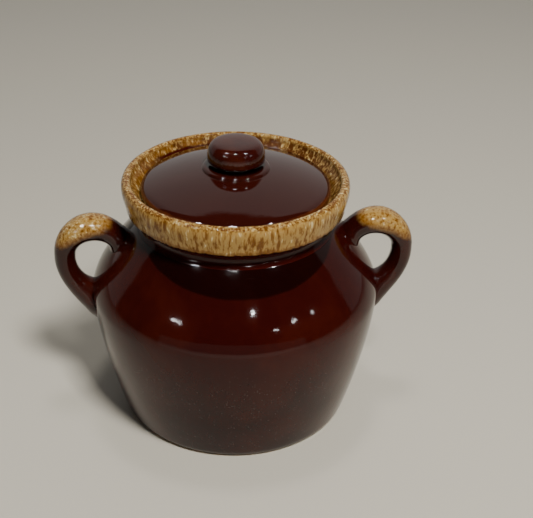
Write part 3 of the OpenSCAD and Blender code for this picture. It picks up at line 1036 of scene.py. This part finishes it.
def buildCollarMaterial():
    look = collarFinish
    material, tree, shader, vector, parts = newGlaze("collarGlaze", glaze["tan"])
    radius = axisDistance(tree, vector)
    darkValues = {"Vector": vector, "Cloud Scale": look["cloudScale"], "Warmth": look["warmth"]}
    dark = useGroup(tree, darkGlaze, (-400, 400), darkValues)
    side = useGroup(tree, dripGlaze, (-400, 0), {"Vector": vector, **look["side"]})
    crown = useGroup(tree, dripGlaze, (-400, -300), {"Vector": vector, **look["crown"]})
    # the crown of the lip, where the glaze lies thin and speckled
    onCrown = edgeMask(tree, vector, parts["Z"], look["crownEdge"], (-400, -600))
    tan = mixColor(tree, onCrown, side["Color"], crown["Color"], (200, 0))
    # inside the lip it runs amber, most of all at the back
    within = ramp(tree, radius, *look["insideRadius"], (-400, -1300))
    under = ramp(tree, parts["Z"], *look["insideHeight"], (-400, -1500))
    inside = doMath(tree, "MULTIPLY", within, under, (-200, -1300))
    amount = ramp(tree, parts["Y"], *look["runnyY"], (-400, -1700), *look["runny"])
    thin = ramp(tree, side["Height"], *look["runnyTones"], (-400, -1900))
    amount = doMath(tree, "MULTIPLY", amount, thin, (-200, -1700))
    toRight = doMath(tree, "MULTIPLY", parts["X"], look["blotLean"], (-800, -2300))
    blots = noise(tree, vector, look["blotScale"], 2, (-800, -2100), 0.55, 0.6)
    blots = doMath(tree, "ADD", blots, toRight, (-600, -2200))
    blots = ramp(tree, blots, *look["blotTones"], (-400, -2200))
    runny = mixColor(tree, blots, glaze["amber"], glaze["brown"], (-200, -2100))
    tan = mixColor(tree, doMath(tree, "MULTIPLY", inside, amount, (0, -1300)), tan, runny, (300, -100))
    # brown shows above the seat, at the back left
    above = edgeMask(tree, vector, parts["Z"], look["seatEdge"], (-400, -2500))
    seat = doMath(tree, "SUBTRACT", inside, above, (-200, -2500), True)
    back = ramp(tree, parts["Y"], *look["seatY"], (-400, -2700))
    left = ramp(tree, parts["X"], *look["seatX"], (-400, -2900))
    seat = doMath(tree, "MULTIPLY", seat, doMath(tree, "MULTIPLY", back, left, (-200, -2800)), (0, -2500))
    tan = mixColor(tree, seat, tan, dark["Color"], (350, -100))
    # a painted highlight: a thin bright cream line on the inner edge of the lip, at the front
    nearEdge = ramp(tree, radius, *look["highlightRadius"], (-400, -900))
    high = ramp(tree, parts["Z"], *look["highlightHeight"], (-400, -1100))
    line = doMath(tree, "MULTIPLY", nearEdge, high, (0, -900))
    front = ramp(tree, parts["Y"], *look["highlightY"], (0, -1100), 0.0, look["highlightStrength"])
    tan = mixColor(tree, doMath(tree, "MULTIPLY", line, front, (200, -900)), tan, glaze["cream"], (400, 0))
    # where the tan glaze ends, at the collar's lower edge
    covered = edgeMask(tree, vector, parts["Z"], look["coverEdge"], (0, -300))
    border = edgeMask(tree, vector, parts["Z"], look["borderEdge"], (0, -500))
    amber = mixColor(tree, look["borderTan"], glaze["amber"], tan, (500, -200))
    tan = mixColor(tree, border, amber, tan, (600, 0))
    tree.links.new(mixColor(tree, covered, dark["Color"], tan, (900, 200)), shader.inputs["Base Color"])
    shader.inputs["Roughness"].default_value = look["roughness"]
    shader.inputs["Specular IOR Level"].default_value = look["mirror"]
    darkHeight = doMath(tree, "MULTIPLY", dark["Height"], 0.5, (600, -500))
    tanHeight = doMath(tree, "MULTIPLY", side["Height"], covered, (600, -700))
    addBump(tree, shader, doMath(tree, "ADD", darkHeight, tanHeight, (900, -500)), look["bump"])
    return material


handleFinish = {
    "dark": {
        "Cloud Scale": 45.0, "Warmth": 0.45,
        "Deep": (0.020, 0.0020, 0.0014), "Warm": (0.050, 0.0062, 0.0020),
    },
    "tan": {"Run": 0.8, "Streak Scale": 560.0, "Brown": 0.75},
    "cream": (0.10, 0.40),              # on the right crest and on the left one
    "creamX": (0.02, -0.02),
    "fallFrom": 0.0950,                 # the border falls outwards from this distance
    "fall": 0.42,
    "tanEdge": (0.1262, 0.0015, 0.0012, 150.0),
    "tanX": (0.078, 0.083),             # distance at which it starts
    "amberEdge": (0.1225, 0.0025, 0.0012, 150.0),
    "amberX": (0.074, 0.080),
    "amberTan": 0.35,
    "roughness": 0.08,
    "bump": 0.00012,
}


def buildHandleMaterial():
    look = handleFinish
    material, tree, shader, vector, parts = newGlaze("handleGlaze", glaze["warm"])
    dark = useGroup(tree, darkGlaze, (-400, 400), {"Vector": vector, **look["dark"]})
    # the left crest is paler than the right one
    cream = ramp(tree, parts["X"], *look["creamX"], (-900, 0), *look["cream"])
    tan = useGroup(tree, dripGlaze, (-400, 0), {"Vector": vector, "Cream": cream, **look["tan"]})
    # the tan glaze caps the crest, and stops short of the root
    out = doMath(tree, "ABSOLUTE", parts["X"], 0, (-1400, -300))
    fall = doMath(tree, "SUBTRACT", look["fallFrom"], out, (-1200, -300))
    fall = doMath(tree, "MULTIPLY", fall, look["fall"], (-1000, -300))
    height = doMath(tree, "SUBTRACT", parts["Z"], fall, (-800, -300))
    tanMask = edgeMask(tree, vector, height, look["tanEdge"], (-400, -300))
    amberMask = edgeMask(tree, vector, height, look["amberEdge"], (-400, -600))
    tanFrom = ramp(tree, out, *look["tanX"], (-1000, -500))
    amberFrom = ramp(tree, out, *look["amberX"], (-200, -700))
    tanMask = doMath(tree, "MULTIPLY", tanMask, tanFrom, (200, -400))
    amberMask = doMath(tree, "MULTIPLY", amberMask, amberFrom, (0, -600))
    amber = mixColor(tree, look["amberTan"], glaze["amber"], tan["Color"], (0, -300))
    color = mixColor(tree, amberMask, dark["Color"], amber, (300, 100))
    color = mixColor(tree, tanMask, color, tan["Color"], (600, 100))
    tree.links.new(color, shader.inputs["Base Color"])
    shader.inputs["Roughness"].default_value = look["roughness"]
    tanHeight = doMath(tree, "MULTIPLY", tan["Height"], amberMask, (600, -500))
    addBump(tree, shader, doMath(tree, "ADD", dark["Height"], tanHeight, (900, -500)), look["bump"])
    return material


lidFinish = {
    "dark": {
        "Cloud Scale": 16.0, "Warmth": 0.35,
        "Deep": (0.027, 0.0032, 0.0016), "Warm": (0.040, 0.0060, 0.0022),
    },
    "rimEdge": (0.0576, 0.0008, 0.0004, 120.0),
    "rimStrength": 0.4,
    # painted shade under the knob, by distance from the axis
    "underKnobShadeRadius": (0.0185, 0.0165),
    "underKnobShadeDepth": 0.9,
    "bump": 0.00006,
}


def buildLidMaterial():
    look = lidFinish
    material, tree, shader, vector, parts = newGlaze("lidGlaze", glaze["warm"])
    radius = axisDistance(tree, vector)
    dark = useGroup(tree, darkGlaze, (-400, 200), {"Vector": vector, **look["dark"]})
    # the glaze breaks to amber over the edge
    rim = edgeMask(tree, vector, radius, look["rimEdge"], (-400, -200))
    rim = doMath(tree, "MULTIPLY", rim, look["rimStrength"], (200, -200))
    color = mixColor(tree, rim, dark["Color"], glaze["thin"], (500, 200))
    # painted shade: black in the gap under the knob
    underKnobShade = ramp(tree, radius, *look["underKnobShadeRadius"], (200, -500), 0.0, look["underKnobShadeDepth"])
    tree.links.new(mixColor(tree, underKnobShade, color, glaze["underKnobShade"], (800, 200)), shader.inputs["Base Color"])
    tree.links.new(dark["Roughness"], shader.inputs["Roughness"])
    addBump(tree, shader, dark["Height"], look["bump"])
    return material


knobFinish = {
    "dark": {
        "Cloud Scale": 60.0, "Warmth": 0.6, "Peel Scale": 620.0,
        "Deep": (0.030, 0.0030, 0.0018), "Warm": (0.058, 0.009, 0.003),
    },
    # painted shade under the knob, by height
    "underKnobShadeHeight": (0.1710, 0.1696),
    "underKnobShadeDepth": 0.9,
    "bump": 0.00022,
}


def buildKnobMaterial():
    look = knobFinish
    material, tree, shader, vector, parts = newGlaze("knobGlaze", glaze["warm"])
    dark = useGroup(tree, darkGlaze, (-400, 200), {"Vector": vector, **look["dark"]})
    # painted shade: near black low on the knob, in the gap over the lid
    underKnobShade = ramp(tree, parts["Z"], *look["underKnobShadeHeight"], (200, -300), 0.0, look["underKnobShadeDepth"])
    tree.links.new(mixColor(tree, underKnobShade, dark["Color"], glaze["underKnobShade"], (600, 200)), shader.inputs["Base Color"])
    tree.links.new(dark["Roughness"], shader.inputs["Roughness"])
    addBump(tree, shader, dark["Height"], look["bump"])
    return material


potBody.data.materials.append(buildPotMaterial())
potCollar.data.materials.append(buildCollarMaterial())
handleMaterial = buildHandleMaterial()
for piece in (handleRight, handleLeft):
    piece.data.materials.clear()
    piece.data.materials.append(handleMaterial)
lidShell.data.materials.append(buildLidMaterial())
lidKnob.data.materials.append(buildKnobMaterial())
print("glazes ready")


# each piece stands for its CAD node and moves with its body
for piece, node, body, slot in (
    (potBody, "pot_body", "pot", "pot_glaze"),
    (potCollar, "pot_collar", "pot", "collar_glaze"),
    (handleLeft, "handle_left", "pot", "handle_glaze"),
    (handleRight, "handle_right", "pot", "handle_glaze"),
    (lidShell, "lid", "lid", "lid_glaze"),
    (lidKnob, "lid_knob", "lid", "lid_glaze"),
):
    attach(piece, body)
    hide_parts(node)

print("pieces placed")
